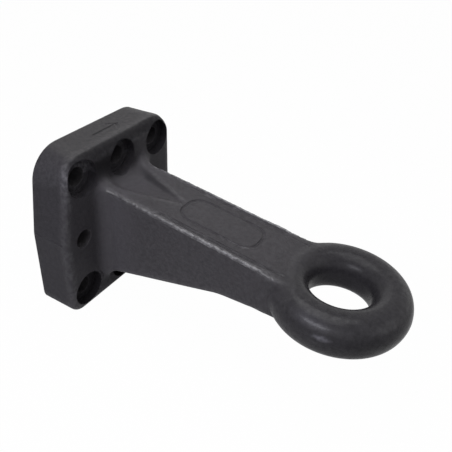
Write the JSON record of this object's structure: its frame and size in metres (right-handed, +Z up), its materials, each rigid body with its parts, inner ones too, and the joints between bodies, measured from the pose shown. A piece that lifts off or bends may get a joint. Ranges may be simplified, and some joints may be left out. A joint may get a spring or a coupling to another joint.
{
  "type": "towing eye",
  "caption": "Forged bolt-on towing eye: thick flange with recessed bolt holes, tapered arm and round ring eye, painted black.",
  "frame": {"origin": "middle of the bolt pattern, on the machined back face of the flange", "axes": "+X from the flange towards the ring eye, +Z up along the eye's hole, +Y sideways"},
  "size_m": [0.3159, 0.153, 0.1606],
  "materials": {
    "painted_forging": "satin black paint over a shot-blasted forged skin"
  },
  "bodies": {
    "root": {"towing_eye": "painted_forging"}
  },
  "joints": []
}
